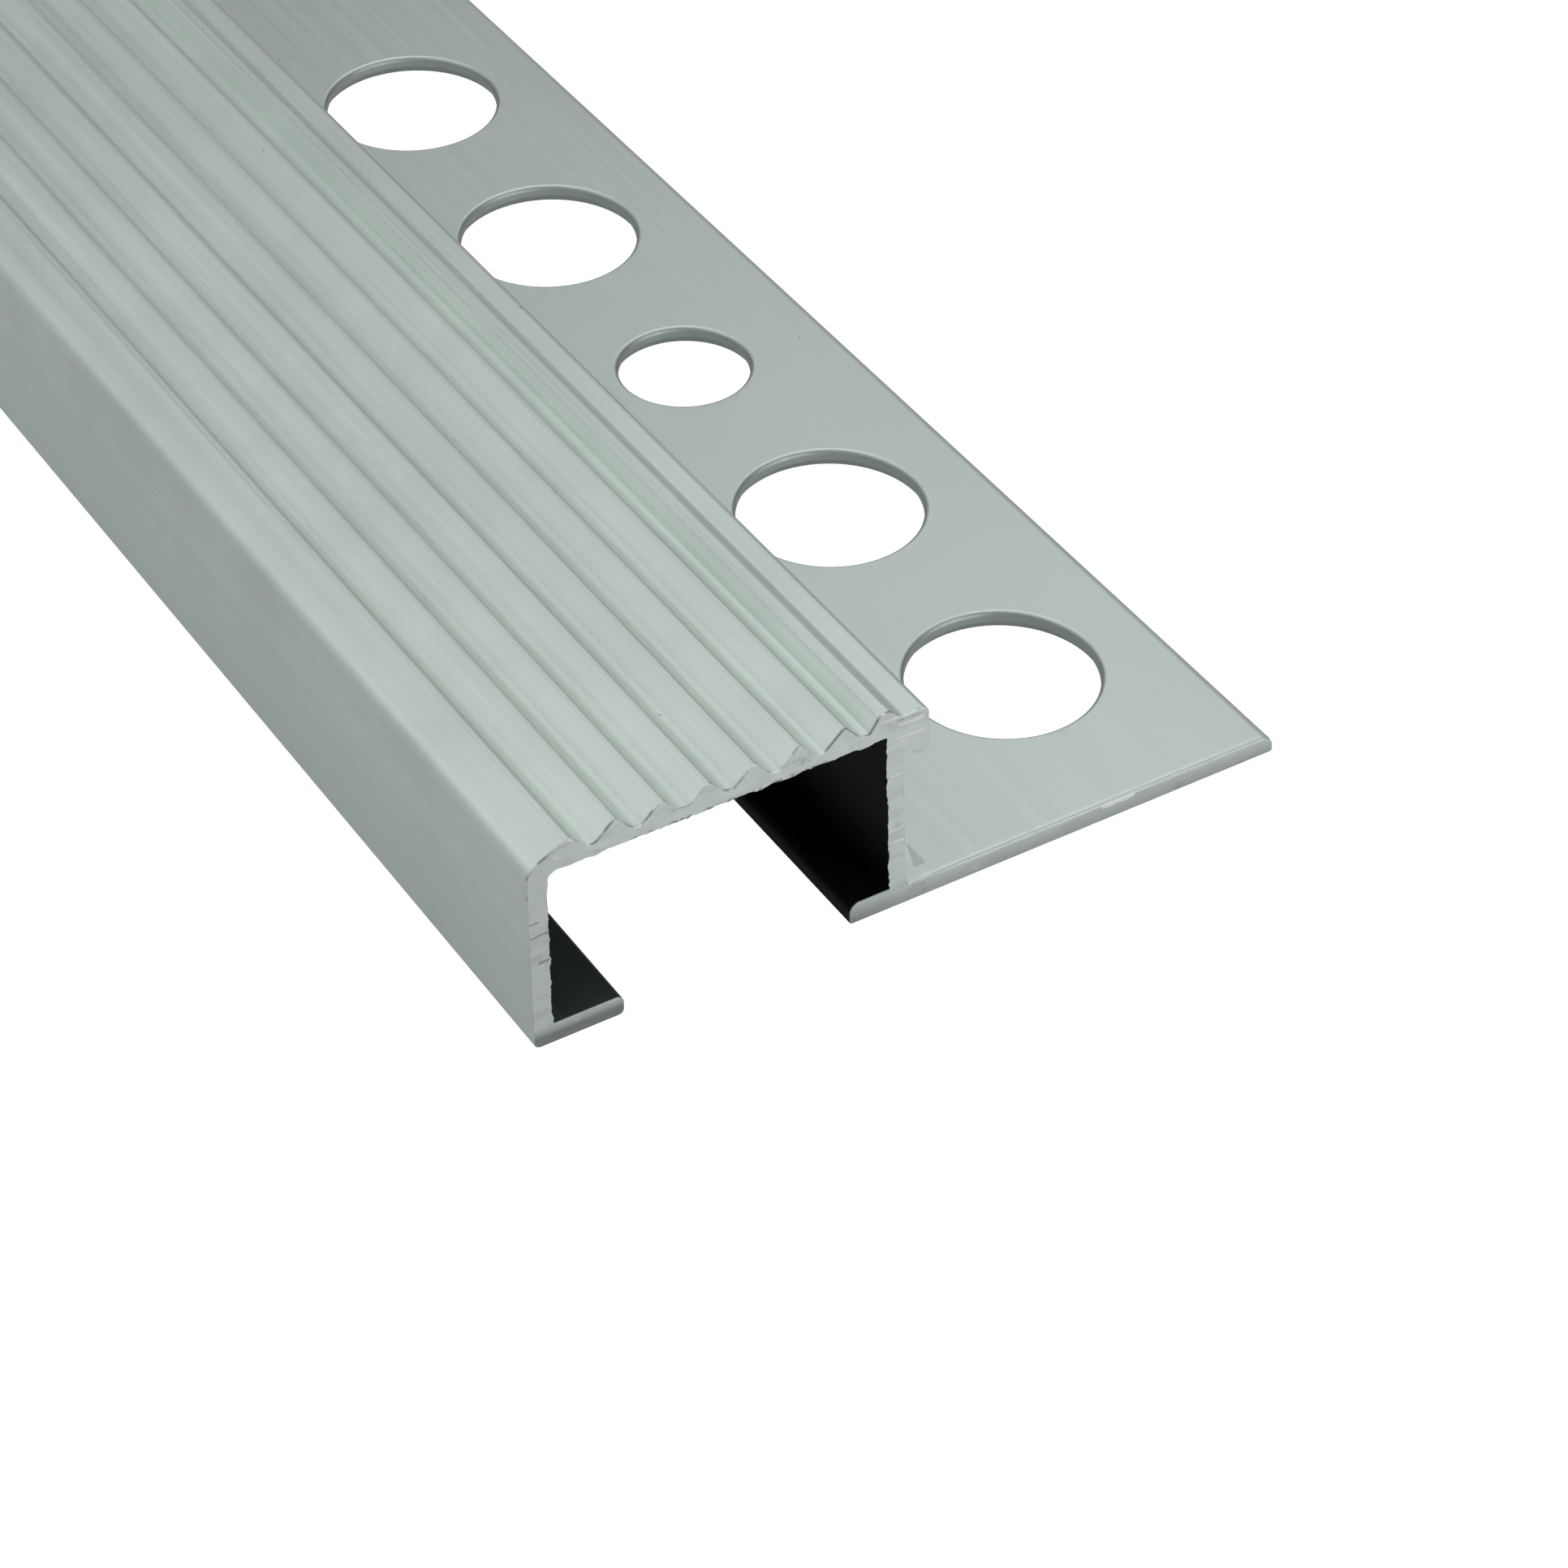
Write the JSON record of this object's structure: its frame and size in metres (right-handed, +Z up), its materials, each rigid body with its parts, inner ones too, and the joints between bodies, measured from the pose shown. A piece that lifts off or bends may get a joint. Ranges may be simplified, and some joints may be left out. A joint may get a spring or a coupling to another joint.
{
  "type": "stair nosing profile",
  "caption": "Ribbed aluminium stair-edge profile with a rounded nose, an open channel below and a punched leg that sits under the tile.",
  "frame": {"origin": "centre of the bounding box's base: the underside of the leg, midway across the profile and midway along it", "axes": "+Y along the extrusion, +X from the front wall to the leg's free edge, +Z up through the tread"},
  "size_m": [0.043, 0.4254, 0.0125],
  "materials": {
    "satin_aluminium": "satin, natural anodised, with fine lengthwise extrusion lines and sawn ends"
  },
  "bodies": {
    "root": {"nosing_profile": "satin_aluminium"}
  },
  "joints": []
}
